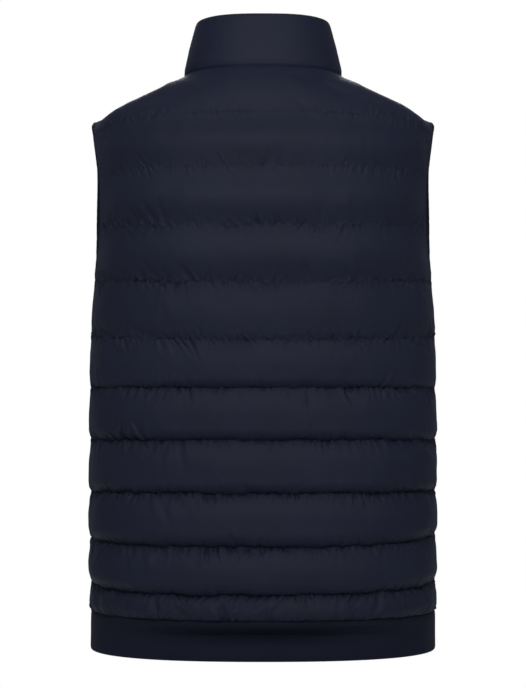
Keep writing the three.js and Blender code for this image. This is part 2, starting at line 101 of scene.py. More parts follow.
# Quilting seams, with a column for each of these:
# height at the centre back, the left side, the right side and the zip
# crest of the channel above
# puckers above and below the seam, and their gain near the armholes
# wall at the seam, softness of the turn into it, and how far the puff above hangs over it
# how far that puff is flat-fronted, and over what height its lower edge turns in
SEAMS = np.array(
    [
        (-25, -43, -43, -40, 6.5, 0.45, 0.35, 1.3, 4.3, 1.3, 0.0, 0.0, 12),
        (-85, -89, -89, -93, 10, 0.4, 0.35, 1.8, 4.5, 1.5, 0.0, 0.0, 12),
        (-150, -149, -149, -153, 11, 0.55, 0.35, 2.6, 4.8, 1.5, 0.2, 0.0, 12),
        (-212, -210, -210, -214, 11, 0.8, 0.45, 2.1, 5.2, 1.4, 0.2, 0.1, 12),
        (-276, -271, -271, -276, 10.5, 0.9, 0.7, 1.7, 6.0, 1.1, 0.4, 0.3, 12),
        (-329, -332, -332, -335, 12, 0.8, 1.1, 1.4, 3.6, 0.8, 1.4, 0.8, 12),
        (-387, -391, -391, -394, 13, 0.8, 1.2, 1.4, 2.6, 0.7, 1.8, 0.95, 13),
        (-446, -449, -449, -452, 13.5, 0.8, 1.3, 1.4, 2.2, 0.65, 2.2, 0.95, 14),
        (-505, -503, -496, -508, 14, 0.8, 1.3, 1.3, 2.0, 0.65, 2.4, 0.95, 17),
        (-558, -553, -548, -560, 14, 0.9, 1.1, 1.2, 2.0, 0.65, 2.4, 0.95, 17),
        (-586, -586, -586, -586, 11, 1.2, 0.0, 1.2, 2.4, 0.6, 1.6, 0.7, 11),
    ],
    float,
)
(CENTRE, LEFT, RIGHT, AT_ZIP, CREST) = SEAMS.T[:5]
(PUCKER_UP, PUCKER_DOWN, PUCKER_SIDE, AT_SEAM, CURVE, HANG, FLAT, TURN_IN) = SEAMS.T[5:]
FLAT_RISE = 30  # over this height a flat-fronted puff swells out below its upper seam


def mix(a, b, f):
    return a + (b - a) * f


def ramp(x):
    f = np.clip(x, 0, 1)
    return f * f * (3 - 2 * f)


def unit(vectors):
    return vectors / np.linalg.norm(vectors, axis=-1, keepdims=True)


def run_along(points):
    """The length along a row of points, at each of them."""
    return np.concatenate([[0], np.cumsum(np.linalg.norm(np.diff(points, axis=0), axis=-1))])


def along(rows, column, z):
    """A column of a table at heights z, joined by smooth cubics."""
    heights, values = rows[:, 0], rows[:, column]
    index = np.arange(len(rows))
    above, below = np.maximum(index - 1, 0), np.minimum(index + 1, len(rows) - 1)
    slope = (values[below] - values[above]) / (heights[below] - heights[above])
    z = np.clip(z, heights[-1], heights[0])
    i = np.clip(np.searchsorted(-heights, -z, side="left") - 1, 0, len(rows) - 2)
    h = heights[i + 1] - heights[i]
    f = (z - heights[i]) / h
    value = values[i] * (1 + 2 * f) * (1 - f) ** 2 + values[i + 1] * f * f * (3 - 2 * f)
    return value + h * f * (1 - f) * (slope[i] * (1 - f) - slope[i + 1] * f)


def half_width(side, z):
    under = along(SECTIONS[2:], HALF_COLUMN[side], z)
    over = np.maximum(mix(TIP_HALF, NECK_HALF, (z - TIP_Z) / (NECK_Z - TIP_Z)), NECK_HALF)
    return np.where(z < TIP_Z, under, over)


def depth(side, z):
    return along(SECTIONS, DEPTH_COLUMN[side], z)


def on_form(side, x, z):
    n = ROUNDNESS[side]
    x, z = np.broadcast_arrays(np.asarray(x, float), np.asarray(z, float))
    share = np.minimum(np.abs(x) / half_width(side, z), 1)
    y = np.maximum(depth(side, z) * (1 - share**n) ** (1 / n), SEAM_GAP / 2)
    return np.stack([x, OUTWARDS[side] * y, z], axis=-1)


def top_edge(side, s):
    """The x and z of a panel's top edge: the neckline, then the shoulder seam."""
    f = np.minimum(s / NECK_END, 1)
    start = math.asin(ZIP_GAP / NECK_HALF) if side == "front" else 0
    turn = mix(start, math.pi / 2, f)
    middle = np.maximum(np.cos(turn), 0)
    fall = NECK_DROP * middle ** FALL["neck"] if side == "front" else -NECK_RISE * middle
    out = np.clip((s - NECK_END) / (1 - NECK_END), 0, 1)
    on_shoulder = s > NECK_END
    x = np.where(on_shoulder, mix(NECK_HALF, TIP_HALF, out), NECK_HALF * np.sin(turn))
    dip = SHOULDER_DIP * np.sin(math.pi * out**0.7)
    z = np.where(on_shoulder, mix(NECK_Z, TIP_Z, out) - dip, NECK_Z - fall)
    return x, z


def seam_height(side, u, k):
    """Height of seam k, counted from 1, at share u across the panel."""
    edge = np.where(np.signbit(u), RIGHT[k - 1], LEFT[k - 1])
    height = mix(CENTRE[k - 1] if side == "back" else AT_ZIP[k - 1], edge, u * u)
    if side == "front" and k == 1:
        return np.minimum(height, top_edge(side, abs(u))[1] - SQUEEZE)
    return height


def edge_depth(side, z):
    foot = LEFT[ARMHOLE_SEAM - 1]
    middle, half = (TIP_Z + foot) / 2, (TIP_Z - foot) / 2
    share = np.minimum(np.abs(z - middle) / half, 1)
    return np.maximum(REACH[side] * np.sqrt(1 - share * share), SEAM_GAP / 2)


def spread(side, s, z):
    n = ROUNDNESS[side]
    half = half_width(side, z)
    edge = np.arccos((edge_depth(side, z) / depth(side, z)) ** (n / 2))
    inner = np.arcsin((ZIP_GAP / half) ** (n / 2)) if side == "front" else 0
    return half * np.sin(mix(inner, edge, s)) ** (2 / n)


def hand_of(u):
    """The side of the wearer that a signed share is on. The zip's edges are at 0 and -0."""
    return np.where(np.signbit(u), -1, 1)


def row_points(side, u, v):
    """The inside of a panel across the shares u, v channels down."""
    s, hand = abs(u), hand_of(u)
    k = min(int(v), len(SEAMS) - 1)
    t = v - k
    if k > 0:
        z = mix(seam_height(side, u, k), seam_height(side, u, k + 1), t)
        return on_form(side, hand * spread(side, s, z), z)
    x, z = top_edge(side, s)
    foot = seam_height(side, u, 1)
    start = on_form(side, hand * x, z)
    start[..., 1] = np.where(s > NECK_END, np.sign(start[..., 1]) * SEAM_GAP / 2, start[..., 1])
    end = on_form(side, hand * spread(side, s, foot), foot)
    down = unit(on_form(side, hand * spread(side, s, foot - BELOW), foot - BELOW) - end)
    tilt = mix(TILT[side], TILT["seam"], np.minimum(s / NECK_END, 1) ** 2)
    leave = np.stack([0 * tilt, OUTWARDS[side] * np.cos(tilt), -np.sin(tilt)], axis=-1)
    length = np.linalg.norm(end - start, axis=-1, keepdims=True)
    bent = start * (1 + 2 * t) * (1 - t) ** 2 + end * t * t * (3 - 2 * t)
    return bent + length * (leave * t * (1 - t) ** 2 - down * t * t * (1 - t))


# Noise from seeded tables, the same in every run

TABLES = np.random.RandomState(20).rand(24, 128, 128)


def noise(a, b, seed):
    """Smooth noise from 0 to 1, with one bump for each unit of a and b."""
    table = TABLES[seed % len(TABLES)]
    a, b = np.broadcast_arrays(np.asarray(a, float) + 500.0, np.asarray(b, float) + 500.0)
    ia, ib = np.floor(a).astype(int), np.floor(b).astype(int)
    fa, fb = ramp(a - ia), ramp(b - ib)

    def at(i, j):
        return table[(ia + i) % len(table), (ib + j) % len(table)]

    return mix(mix(at(0, 0), at(1, 0), fa), mix(at(0, 1), at(1, 1), fa), fb)


# Quilting

FINE_ROWS = 24  # to a channel
EVEN_STEPS = np.arange(FINE_ROWS) / FINE_ROWS
# Steps down a channel are closer near its seams
STEPS = mix(0.5 - 0.5 * np.cos(math.pi * EVEN_STEPS), EVEN_STEPS, 0.45)
FOOT_COLUMNS = 4  # beside the armhole's foot
RIDGE_LIMIT = 2.4  # of small folds together
TROUGH_LIMIT = 4.2
THINNEST = 1.3

# Folds listed one by one on the back
# Both ends in x and z, the width and the depth, which is negative on a ridge
BACK_FOLDS = [
    (146, -128, 130, -152, 3.2, 2.0),
    (138, -132, 126, -150, 2.6, 1.4),
    (128, -126, 116, -150, 2.8, 1.5),
    (112, -124, 106, -148, 2.6, 1.2),
    (150, -152, 140, -168, 2.8, 1.4),
    (184, -204, 150, -212, 4.5, 4.2),
    (160, -190, 148, -208, 3.0, 1.6),
    (140, -192, 124, -214, 3.0, 1.9),
    (128, -190, 110, -216, 3.0, 1.9),
    (112, -196, 98, -218, 2.6, 1.5),
    (92, -192, 76, -214, 3.0, 1.6),
    (-44, -190, -50, -208, 2.6, 1.6),
    (-82, -192, -92, -210, 3.0, 1.6),
    (-100, -186, -112, -208, 2.6, 1.3),
    (-152, -196, -166, -212, 3.0, 2.4),
    (-168, -194, -156, -216, 2.8, 2.2),
    (-170, -206, -178, -226, 3.0, 1.6),
    (176, -266, 158, -272, 3.4, 2.2),
    (144, -262, 122, -272, 3.0, 1.8),
    (-166, -262, -178, -276, 3.0, 2.2),
    (-160, -276, -182, -290, 3.0, 1.8),
    (-160, -324, -184, -342, 3.0, 2.4),
    (-152, -330, -176, -350, 2.6, 1.8),
    (-50, -334, -50, -350, 2.4, 1.2),
    (-42, -332, -46, -350, 2.4, -1.0),
    (92, -392, 86, -412, 3.0, 1.4),
    (100, -392, 104, -416, 3.4, -1.2),
    (-160, -376, -184, -398, 3.4, 2.2),
    (120, -452, 108, -476, 3.2, -1.3),
    (112, -452, 100, -474, 2.6, 1.3),
    (122, -510, 122, -528, 2.8, -1.6),
    (118, -562, 112, -584, 3.0, 4.6),
    (122, -574, 108, -580, 3.0, -3.2),
    (148, -568, 160, -586, 4.0, 4.0),
    (92, -572, 76, -586, 3.4, 3.8),
    (46, -566, 40, -586, 3.2, 4.0),
    (56, -572, 46, -586, 2.8, -2.6),
    (-2, -568, -2, -584, 2.8, 2.2),
    (-126, -548, -124, -572, 3.0, 3.4),
    (-122, -572, -112, -582, 3.4, 3.6),
    (186, -545, 176, -580, 5.0, 2.4),
    (188, -30, 168, -48, 3.0, 1.4),
    (190, -44, 166, -60, 3.0, 1.2),
    (-188, -34, -166, -50, 3.0, 1.4),
    (-190, -50, -164, -62, 3.0, 1.1),
    (-30, 20, -66, 8, 3.0, 1.2),
    (-52, 22, -84, 6, 3.0, 1.3),
    (78, -8, 60, -24, 2.6, 0.9),
    (-40, -14, -52, -26, 2.6, 0.9),
    (88, 11, 150, -13, 5.0, -2.0),
    (110, -6, 150, -24, 4.0, 1.3),
    (-92, 9, -152, -15, 5.0, -2.0),
    (-120, -8, -160, -28, 4.0, 1.3),
    (-70, 12, -104, -6, 4.0, 1.2),
]


def folds(points, rows):
    """The relief of the listed folds at grid points, read in x and z."""
    total = np.zeros(points.shape[:2])
    for x0, z0, x1, z1, width, deep in rows:
        run = np.array([x1 - x0, z1 - z0], float)
        rel = points[..., [0, 2]] - np.array([x0, z0])
        f = np.clip(rel @ run / (run @ run), 0, 1)
        off = np.linalg.norm(rel - f[..., None] * run, axis=-1)
        taper = 0.35 + 0.65 * np.sin(math.pi * np.clip(f, 0.06, 0.94))
        total -= deep * np.exp(-((off / width) ** 2)) * taper
    return total


def puckers(a, d, seed):
    """Short gathers that run off a seam: a along it and d away from it, in millimetres."""
    lean = (noise(a / 60, 0, seed) - 0.5) * 1.5
    q = a + d * lean
    length = 5 + 15 * noise(a / 22, 3, seed + 1) ** 2
    fade = np.exp(-d / length)
    small = noise(q / 4.6, d / 16, seed + 3) - 0.5
    group = 0.35 + 1.1 * noise(a / 38, 9, seed + 4)
    return -1.6 * small * fade**1.4 * group


def gathers(a, d, reach, narrow, gap, seed):
    """Single creases off a seam, at seeded places and leans.

    Each is a tapering trough with a ridge at one side. They reach away from the seam, are at least
    narrow wide and stand about a gap apart.
    """
    chance = np.random.RandomState(seed)
    total = np.zeros_like(a)
    place = a.min() + 4
    lean_of_group = 0.0
    strength = 1.0
    while place < a.max() - 4:
        if chance.rand() < 0.25:
            lean_of_group = chance.normal(0, 0.3)
            strength = chance.gamma(1.8, 0.5)
        lean = lean_of_group + chance.normal(0, 0.33)
        length = reach * (0.35 + 1.1 * chance.rand() ** 1.6)
        width = narrow * (1 + chance.rand())
        height = (0.5 + 1.3 * chance.rand()) * strength
        turn = 1 if chance.rand() < 0.5 else -1
        bend = chance.normal(0, 0.012)
        f = d / length
        off = (a - place - lean * d - bend * d * d) / (width * (0.75 + 0.6 * f))
        taper = np.clip(1 - f, 0, 1) ** 1.2
        total += height * taper * (0.85 * np.exp(-((off - 1.5 * turn) ** 2)) - np.exp(-(off**2)))
        place += gap * (0.3 + chance.rand() ** 1.3)
    return total


def seam_rows(v):
    return [int(np.argmin(np.abs(v - seam))) for seam in range(1, len(SEAMS) + 1)]


def nearest_seam(v):
    return np.clip(np.round(v).astype(int) - 1, 0, len(SEAMS) - 1)


class Panel:
    """A panel as a grid of points, u across it and v channels down it.

    s is the share across the panel, k the channel and t the share down that channel.
    a is the length along each row from the centre line, and h the length down each column.
    """

    def __init__(self, side, u, v):
        self.side = side
        self.u = u
        self.v = v[:, None]
        self.s = np.abs(u)[None, :]
        self.k = np.minimum(self.v.astype(int), len(SEAMS) - 1)
        self.t = self.v - self.k
        self.inside = np.array([row_points(side, u, value) for value in v])
        down = np.gradient(self.inside, axis=0)
        self.down = unit(down)
        self.out = unit(np.cross(np.gradient(self.inside, axis=1), down))
        self.settle_normals()
        step = np.linalg.norm(np.diff(self.inside, axis=1), axis=-1)
        self.a = np.concatenate([np.zeros((len(v), 1)), np.cumsum(step, axis=1)], axis=1)
        self.a -= self.a[:, [int(np.argmin(np.abs(u)))]]
        fall = np.linalg.norm(np.diff(self.inside, axis=0), axis=-1)
        self.h = np.concatenate([np.zeros((1, len(u))), np.cumsum(fall, axis=0)], axis=0)

    def settle_normals(self):
        """Turn the normals away from the wearer, and right them at the armhole's foot."""
        middle = self.out[len(self.v) // 2, len(self.u) // 2]
        if middle[1] * OUTWARDS[self.side] < 0:
            self.out = -self.out
        # The armhole's foot is a corner, so its normals are those a little way in from it
        # Below it the side seam is closed, so they turn to face sideways
        foot = np.flatnonzero(np.abs(self.v - ARMHOLE_SEAM + 0.2) < 0.55)
        closed = foot[self.v[foot, 0] > ARMHOLE_SEAM - 0.01]
        for inwards in range(FOOT_COLUMNS):
            for at, sound in ((inwards, FOOT_COLUMNS + 1), (-1 - inwards, -2 - FOOT_COLUMNS)):
                if abs(self.u[at]) > 0.5:
                    self.out[foot, at] = self.out[foot, sound]
                    sideways = np.array([float(hand_of(self.u[at])), 0, 0])
                    turned = mix(sideways, self.out[closed, at], inwards / FOOT_COLUMNS)
                    self.out[closed, at] = unit(turned)


def channel_room(panel):
    """How far the top channel may swell, where the neckline comes close to the first seam."""
    height = top_edge(panel.side, np.abs(panel.u))[1] - seam_height(panel.side, panel.u, 1)
    return np.where(panel.k > 0, 1, ramp((height - SQUEEZE) / (3 * SQUEEZE)))


def side_pinch(panel):
    """The share of the quilting's height that is left towards the sides and the zip."""
    bound = np.where(panel.k < ARMHOLE_SEAM, 0.05, 0.22)
    pinch = mix(bound, 1, ramp((1 - panel.s) / SIDE_FADE))
    if panel.side == "front":
        pinch = pinch * mix(0.3, 1, ramp(panel.s * 14 * 0.6))
    return pinch


def channel_fill(panel):
    """The form of a puff down its channel, from 0 at the seams to 1 at its crest."""
    k, t = panel.k, panel.t
    last = np.maximum(k - 1, 0)
    curve = mix(1.35 * CURVE[last], 0.9 * CURVE[k], t)
    fill = np.sin(math.pi * np.clip(t, 0, 1) ** 1.16) ** curve
    channel = np.abs(CENTRE[k] - CENTRE[last]) + 1e-6
    lower = 1 - (1 - np.clip((1 - t) * channel / TURN_IN[k], 0, 1)) ** 1.75
    upper = 1 - (1 - np.clip(t * channel / np.minimum(FLAT_RISE, 0.6 * channel), 0, 1)) ** 2
    fill = np.where(k > 0, mix(fill, upper * lower, FLAT[k]), fill)
    at_shoulder = (k == 0) * ramp((panel.s - NECK_END) * 8)
    return fill * mix(1, ramp(t * 1.8), at_shoulder)


def puffed_wall(panel, fill, room, pinch, seed):
    """The wall's thickness with its puffs, before its small folds."""
    k, a, v = panel.k, panel.a, panel.v
    body = 1 + 0.22 * (noise(a / 95, v * 1.3, seed) - 0.5)
    body += 0.16 * (noise(a / 42, v * 2.1, seed + 1) - 0.5) * np.sqrt(fill)
    above = np.where(k > 0, AT_SEAM[np.maximum(k - 1, 0)], SEAM_WALL)
    least = mix(above, AT_SEAM[k], panel.t) * pinch + SEAM_WALL * (1 - pinch)
    return least + (CREST[k] * pinch - least + SEAM_WALL * (1 - pinch)) * fill * room * body


def seam_folds(panel, seed):
    """Puckers and creases above and below each seam, and the pull of its stitches."""
    total = np.zeros_like(panel.a)
    near_side = ramp((np.abs(panel.a) - 70) / 90)
    for seam, row in enumerate(seam_rows(panel.v), 1):
        side_gain = mix(1, PUCKER_SIDE[seam - 1], near_side)
        for beside, gain, own in ((-1, PUCKER_UP[seam - 1], 2), (0, PUCKER_DOWN[seam - 1], 3)):
            rows = np.flatnonzero((panel.v >= seam + beside) & (panel.v < seam + beside + 1))
            if not len(rows):
                continue
            a = panel.a[rows]
            d = np.abs(panel.h[rows] - panel.h[row])
            number = seed * 100 + seam * 5 + own
            fine = puckers(a, d, number) + gathers(a, d, 19, 1.35, 10, number)
            fine += 0.75 * gathers(a, d, 12, 1.2, 6, number + 50)
            if seam == len(SEAMS):
                fine += 1.2 * gathers(a, d, 8, 1.7, 9, number + 70)
            total[rows] += gain * side_gain[rows] * fine
            total[rows] += 0.25 * np.sin(a * math.pi / 2.4) * np.exp(-d / 2.2)
    return total


def small_folds(panel, fill, room, seed):
    """All relief that is smaller than a puff, outwards where positive."""
    a, h = panel.a, panel.h
    broad = (noise(a / 17, h / 24, seed + 7) - 0.5) * 1.1
    narrow = (noise(a / 7.5, h / 9, seed + 8) - 0.5) * 0.35
    total = seam_folds(panel, seed) + (broad + narrow) * np.sqrt(fill) * room
    if panel.side == "back":
        total += folds(panel.inside, BACK_FOLDS) * np.minimum(1, 0.6 + fill)
    ridges = RIDGE_LIMIT * np.tanh(total / RIDGE_LIMIT)
    troughs = TROUGH_LIMIT * np.tanh(total / TROUGH_LIMIT)
    return np.where(total > 0, ridges, troughs)


def hang_down(panel, pinch, seed):
    """How far down each point is moved: puffs hang unevenly over the seam below, and seams waver."""
    k, t, a, v = panel.k, panel.t, panel.a, panel.v
    droop = HANG[k] * np.interp(t, [0, 0.15, 0.5, 0.8, 0.93, 1], [0, 0.2, 0.7, 1, 0.75, 0])
    uneven = 0.55 * noise(a / 9, k * 5.1, seed + 11) + 0.45 * noise(a / 4.5, k * 5.1, seed + 12)
    droop = droop * mix(1, 0.35 + 1.3 * uneven, ramp(t * 3 - 1.6))
    seam = nearest_seam(v)
    waver = (noise(a / 11, seam * 7.3, seed + 9) - 0.5) * np.exp(-np.minimum(t, 1 - t) * 14)
    waver = waver * (0.8 + 1.3 * HANG[seam]) * ramp(v * 2 - 1) * ramp(len(SEAMS) - v)
    return droop * pinch + waver


def crease_strength(panel, seed):
    """How strongly the material's fine creases show, which fade away from the seams."""
    h = panel.h
    near = np.abs(h[:, None, :] - h[None, seam_rows(panel.v), :]).min(axis=1)
    uneven = 0.2 + 1.2 * noise(panel.a / 30, panel.v * 3.7, seed + 10)
    return np.exp(-near / 7) * uneven * ramp(panel.v * 8) * PUCKER_UP[nearest_seam(panel.v)]


def quilted(side, u, v, seed):
    """A panel with its quilted outside."""
    panel = Panel(side, u, v)
    s, t, v = panel.s, panel.t, panel.v
    room = channel_room(panel)
    pinch = side_pinch(panel)
    fill = channel_fill(panel)
    edge = ramp((1 - s) * 16) * np.minimum(1, v * 6)
    if side == "front":
        edge = edge * ramp(s * 24)
    detail = small_folds(panel, fill, room, seed)
    groove = -0.12 * HANG[panel.k] * (1 - ramp((1 - t) * 9))
    thin_top = -1.5 * (1 - ramp(v * 9)) - 1.4 * (1 - ramp(v * 3)) * ramp((s - NECK_END) * 8)
    wall = puffed_wall(panel, fill, room, pinch, seed) + (detail + groove) * edge + thin_top
    moved = panel.inside + panel.down * (hang_down(panel, pinch, seed) * edge)[..., None]
    panel.outside = moved + panel.out * np.maximum(wall, THINNEST)[..., None]
    panel.crease = crease_strength(panel, seed)
    return panel


# Meshes


def make_mesh(name, points, faces, uv=None, sharp=50):
    """An object from points in millimetres and faces, turned so that its faces point outwards."""
    points = np.asarray(points, float)
    volume = 0.0
    for face in faces:
        corner = points[list(face)]
        volume += np.einsum("j,ij->", corner[0], np.cross(corner[1:-1], corner[2:]))
    if volume < 0:
        faces = [tuple(reversed(face)) for face in faces]
    mesh = bpy.data.meshes.new(name)
    mesh.from_pydata((points * MM).tolist(), [], [tuple(int(i) for i in face) for face in faces])
    mesh.validate()
    if uv is not None:
        layer = mesh.uv_layers.new(name="Length")
        corners = np.zeros(len(mesh.loops), np.int32)
        mesh.loops.foreach_get("vertex_index", corners)
        layer.data.foreach_set("uv", (np.asarray(uv) * MM)[corners].astype(np.float32).ravel())
    mesh.shade_smooth()
    mesh.set_sharp_from_angle(angle=math.radians(sharp))
    made = bpy.data.objects.new(name, mesh)
    bpy.context.scene.collection.objects.link(made)
    return made


def grid_faces(rows, columns, first=0, turn=False):
    r, c = np.meshgrid(np.arange(rows - 1), np.arange(columns - 1), indexing="ij")
    a = (first + r * columns + c).ravel()
    quads = np.stack([a, a + columns, a + columns + 1, a + 1], axis=1)
    return [tuple(q) for q in (quads[:, ::-1] if turn else quads)]


def panel_wall(name, panel, kept):
    """A closed wall between a panel's outside and its inside, of which only some rows are kept."""
    rows, columns = panel.outside.shape[:2]
    fewer = len(kept)
    first = rows * columns
    faces = grid_faces(rows, columns) + grid_faces(fewer, columns, first, True)
    for c in range(columns - 1):
        low = (rows - 1) * columns + c
        deep = first + (fewer - 1) * columns + c
        faces.append((c, c + 1, first + c + 1, first + c))
        faces.append((low, deep, deep + 1, low + 1))
    for c, turn in ((0, False), (columns - 1, True)):
        for r in range(fewer - 1):
            face = [first + r * columns + c, first + (r + 1) * columns + c]
            face += [q * columns + c for q in range(kept[r + 1], kept[r] - 1, -1)]
            faces.append(tuple(reversed(face)) if turn else tuple(face))
    points = np.concatenate([panel.outside.reshape(-1, 3), panel.inside[kept].reshape(-1, 3)])
    lengths = np.stack([panel.a, panel.h], axis=-1)
    uv = np.concatenate([lengths.reshape(-1, 2), lengths[kept].reshape(-1, 2)])
    made = make_mesh(name, points, faces, uv)
    crease = np.concatenate([panel.crease.ravel(), np.zeros(fewer * columns)])
    layer = made.data.attributes.new("crease", "FLOAT", "POINT")
    layer.data.foreach_set("value", crease.astype(np.float32))
    return made


def tube_faces(count, size, first=0, ring=False):
    """Faces between equal closed sections. A ring joins its ends, and otherwise they are capped."""
    faces = []
    for r in range(count if ring else count - 1):
        near = first + r * size
        far = first + (r + 1) % count * size
        for c in range(size):
            d = (c + 1) % size
            faces.append((near + c, far + c, far + d, near + d))
    if not ring:
        end = first + (count - 1) * size
        faces.append(tuple(range(first, first + size)))
        faces.append(tuple(range(end + size - 1, end - 1, -1)))
    return faces


def sweep(name, sections, lengths, ring=False):
    """A solid from a row of equal closed sections."""
    points = np.array(sections)
    faces = tube_faces(*points.shape[:2], ring=ring)
    return make_mesh(name, points.reshape(-1, 3), faces, np.reshape(lengths, (-1, 2)))


# Materials

COLOUR_A, COLOUR_B, MIXED = 6, 7, 2  # a mix node's sockets for colours


def node(tree, kind, **values):
    made = tree.nodes.new(kind)
    for key, value in values.items():
        if key.startswith("in_"):
            made.inputs[key[3:].replace("_", " ")].default_value = value
        else:
            setattr(made, key, value)
    return made


def cloth(name, dark, light, rough, sheen, shine, weave, weave_depth, crumple):
    """Woven or knitted cloth: a patchy colour, two crossed rows of threads and a fine crumple.

    Where the crease attribute is high it is gathered as well.
    """
    made = bpy.data.materials.new(name)
    made.use_nodes = True
    tree = made.node_tree
    link = tree.links.new
    shader = tree.nodes["Principled BSDF"]
    shader.inputs["Roughness"].default_value = rough
    shader.inputs["Sheen Weight"].default_value = sheen
    shader.inputs["Sheen Roughness"].default_value = 0.45
    shader.inputs["Sheen Tint"].default_value = (0.6, 0.66, 0.9, 1)
    shader.inputs["Specular IOR Level"].default_value = shine
    where = node(tree, "ShaderNodeTexCoord")
    patches = node(tree, "ShaderNodeTexNoise", in_Scale=9.0, in_Detail=4.0, in_Roughness=0.6)
    link(where.outputs["Object"], patches.inputs["Vector"])
    colours = node(tree, "ShaderNodeValToRGB")
    colours.color_ramp.elements[0].position = 0.32
    colours.color_ramp.elements[0].color = (*dark, 1)
    colours.color_ramp.elements[1].position = 0.68
    colours.color_ramp.elements[1].color = (*light, 1)
    link(patches.outputs["Fac"], colours.inputs["Fac"])
    threads = []
    for across in ("X", "Y"):
        rows = node(tree, "ShaderNodeTexWave", bands_direction=across, in_Scale=weave, in_Distortion=0.6)
        rows.inputs["Detail"].default_value = 1.0
        rows.inputs["Detail Scale"].default_value = 2.0
        link(where.outputs["UV"], rows.inputs["Vector"])
        threads.append(rows)
    crossed = node(tree, "ShaderNodeMath", operation="MULTIPLY")
    for i, rows in enumerate(threads):
        link(rows.outputs["Fac"], crossed.inputs[i])
    shade = node(tree, "ShaderNodeMix", data_type="RGBA", blend_type="MULTIPLY")
    shade.inputs["Factor"].default_value = 0.12
    link(colours.outputs["Color"], shade.inputs[COLOUR_A])
    link(crossed.outputs[0], shade.inputs[COLOUR_B])
    link(shade.outputs[MIXED], shader.inputs["Base Color"])
    creases = node(tree, "ShaderNodeTexNoise", in_Scale=150.0, in_Detail=3.0, in_Roughness=0.55)
    creases.inputs["Distortion"].default_value = 0.4
    link(where.outputs["Object"], creases.inputs["Vector"])
    fine = node(tree, "ShaderNodeBump", in_Strength=weave_depth, in_Distance=0.0002)
    link(crossed.outputs[0], fine.inputs["Height"])
    broad = node(tree, "ShaderNodeBump", in_Strength=crumple, in_Distance=0.0015)
    link(creases.outputs["Fac"], broad.inputs["Height"])
    link(fine.outputs["Normal"], broad.inputs["Normal"])
    stretch = node(tree, "ShaderNodeMapping")
    stretch.inputs["Scale"].default_value = (215, 95, 1)
    link(where.outputs["UV"], stretch.inputs["Vector"])
    gathered = node(tree, "ShaderNodeTexNoise", in_Scale=1.0, in_Detail=2.0, in_Roughness=0.5)
    gathered.inputs["Distortion"].default_value = 1.4
    link(stretch.outputs["Vector"], gathered.inputs["Vector"])
    near_seam = node(tree, "ShaderNodeAttribute", attribute_name="crease")
    by_seam = node(tree, "ShaderNodeMath", operation="MULTIPLY")
    link(gathered.outputs["Fac"], by_seam.inputs[0])
    link(near_seam.outputs["Fac"], by_seam.inputs[1])
    drawn_in = node(tree, "ShaderNodeBump", in_Strength=1.0, in_Distance=0.0032)
    link(by_seam.outputs[0], drawn_in.inputs["Height"])
    link(broad.outputs["Normal"], drawn_in.inputs["Normal"])
    link(drawn_in.outputs["Normal"], shader.inputs["Normal"])
    return made


def hard(name, dark, light, rough, metallic, grain):
    """Moulded plastic or enamel, with a faint mottle in its colour, gloss and surface."""
    made = bpy.data.materials.new(name)
    made.use_nodes = True
    tree = made.node_tree
    link = tree.links.new
    shader = tree.nodes["Principled BSDF"]
    shader.inputs["Metallic"].default_value = metallic
    where = node(tree, "ShaderNodeTexCoord")
    mottle = node(tree, "ShaderNodeTexNoise", in_Scale=grain, in_Detail=5.0, in_Roughness=0.6)
    link(where.outputs["Object"], mottle.inputs["Vector"])
    colours = node(tree, "ShaderNodeValToRGB")
    colours.color_ramp.elements[0].position = 0.3
    colours.color_ramp.elements[0].color = (*dark, 1)
    colours.color_ramp.elements[1].position = 0.7
    colours.color_ramp.elements[1].color = (*light, 1)
    link(mottle.outputs["Fac"], colours.inputs["Fac"])
    link(colours.outputs["Color"], shader.inputs["Base Color"])
    gloss = node(tree, "ShaderNodeMapRange", in_To_Min=rough - 0.07, in_To_Max=rough + 0.1)
    link(mottle.outputs["Fac"], gloss.inputs["Value"])
    link(gloss.outputs["Result"], shader.inputs["Roughness"])
    bump = node(tree, "ShaderNodeBump", in_Strength=0.15, in_Distance=0.0002)
    link(mottle.outputs["Fac"], bump.inputs["Height"])
    link(bump.outputs["Normal"], shader.inputs["Normal"])
    return made


shell_cloth = cloth(
    "shell_cloth",
    dark=(0.013, 0.0162, 0.0392),
    light=(0.0162, 0.0198, 0.0474),
    rough=0.58,
    sheen=0.06,
    shine=0.22,
    weave=900,
    weave_depth=0.35,
    crumple=0.22,
)
knit = cloth(
    "band_knit",
    dark=(0.0092, 0.0115, 0.0277),
    light=(0.0116, 0.014, 0.0332),
    rough=0.8,
    sheen=0.04,
    shine=0.17,
    weave=420,
    weave_depth=0.5,
    crumple=0.08,
)
tape_cloth = cloth(
    "zip_tape_weave",
    dark=(0.007, 0.0085, 0.019),
    light=(0.0095, 0.0112, 0.025),
    rough=0.8,
    sheen=0.05,
    shine=0.2,
    weave=600,
    weave_depth=0.6,
    crumple=0.05,
)
thread = cloth(
    "stitch_thread",
    dark=(0.013, 0.0162, 0.038),
    light=(0.018, 0.022, 0.05),
    rough=0.55,
    sheen=0.05,
    shine=0.25,
    weave=1500,
    weave_depth=0.3,
    crumple=0.0,
)
plastic = hard("zip_plastic", (0.011, 0.012, 0.022), (0.014, 0.0155, 0.027), 0.42, 0.0, 300.0)
enamel = hard("zip_enamel", (0.016, 0.018, 0.03), (0.02, 0.023, 0.037), 0.3, 0.5, 400.0)


def dress(piece, material, slot, *nodes):
    """Give a piece its material, in the vest's body, in place of the nodes. The slot is not used."""
    piece.data.materials.clear()
    piece.data.materials.append(material)
    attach(piece, "vest")
    if nodes:
        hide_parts(*nodes)
    return piece


# Quilted panels

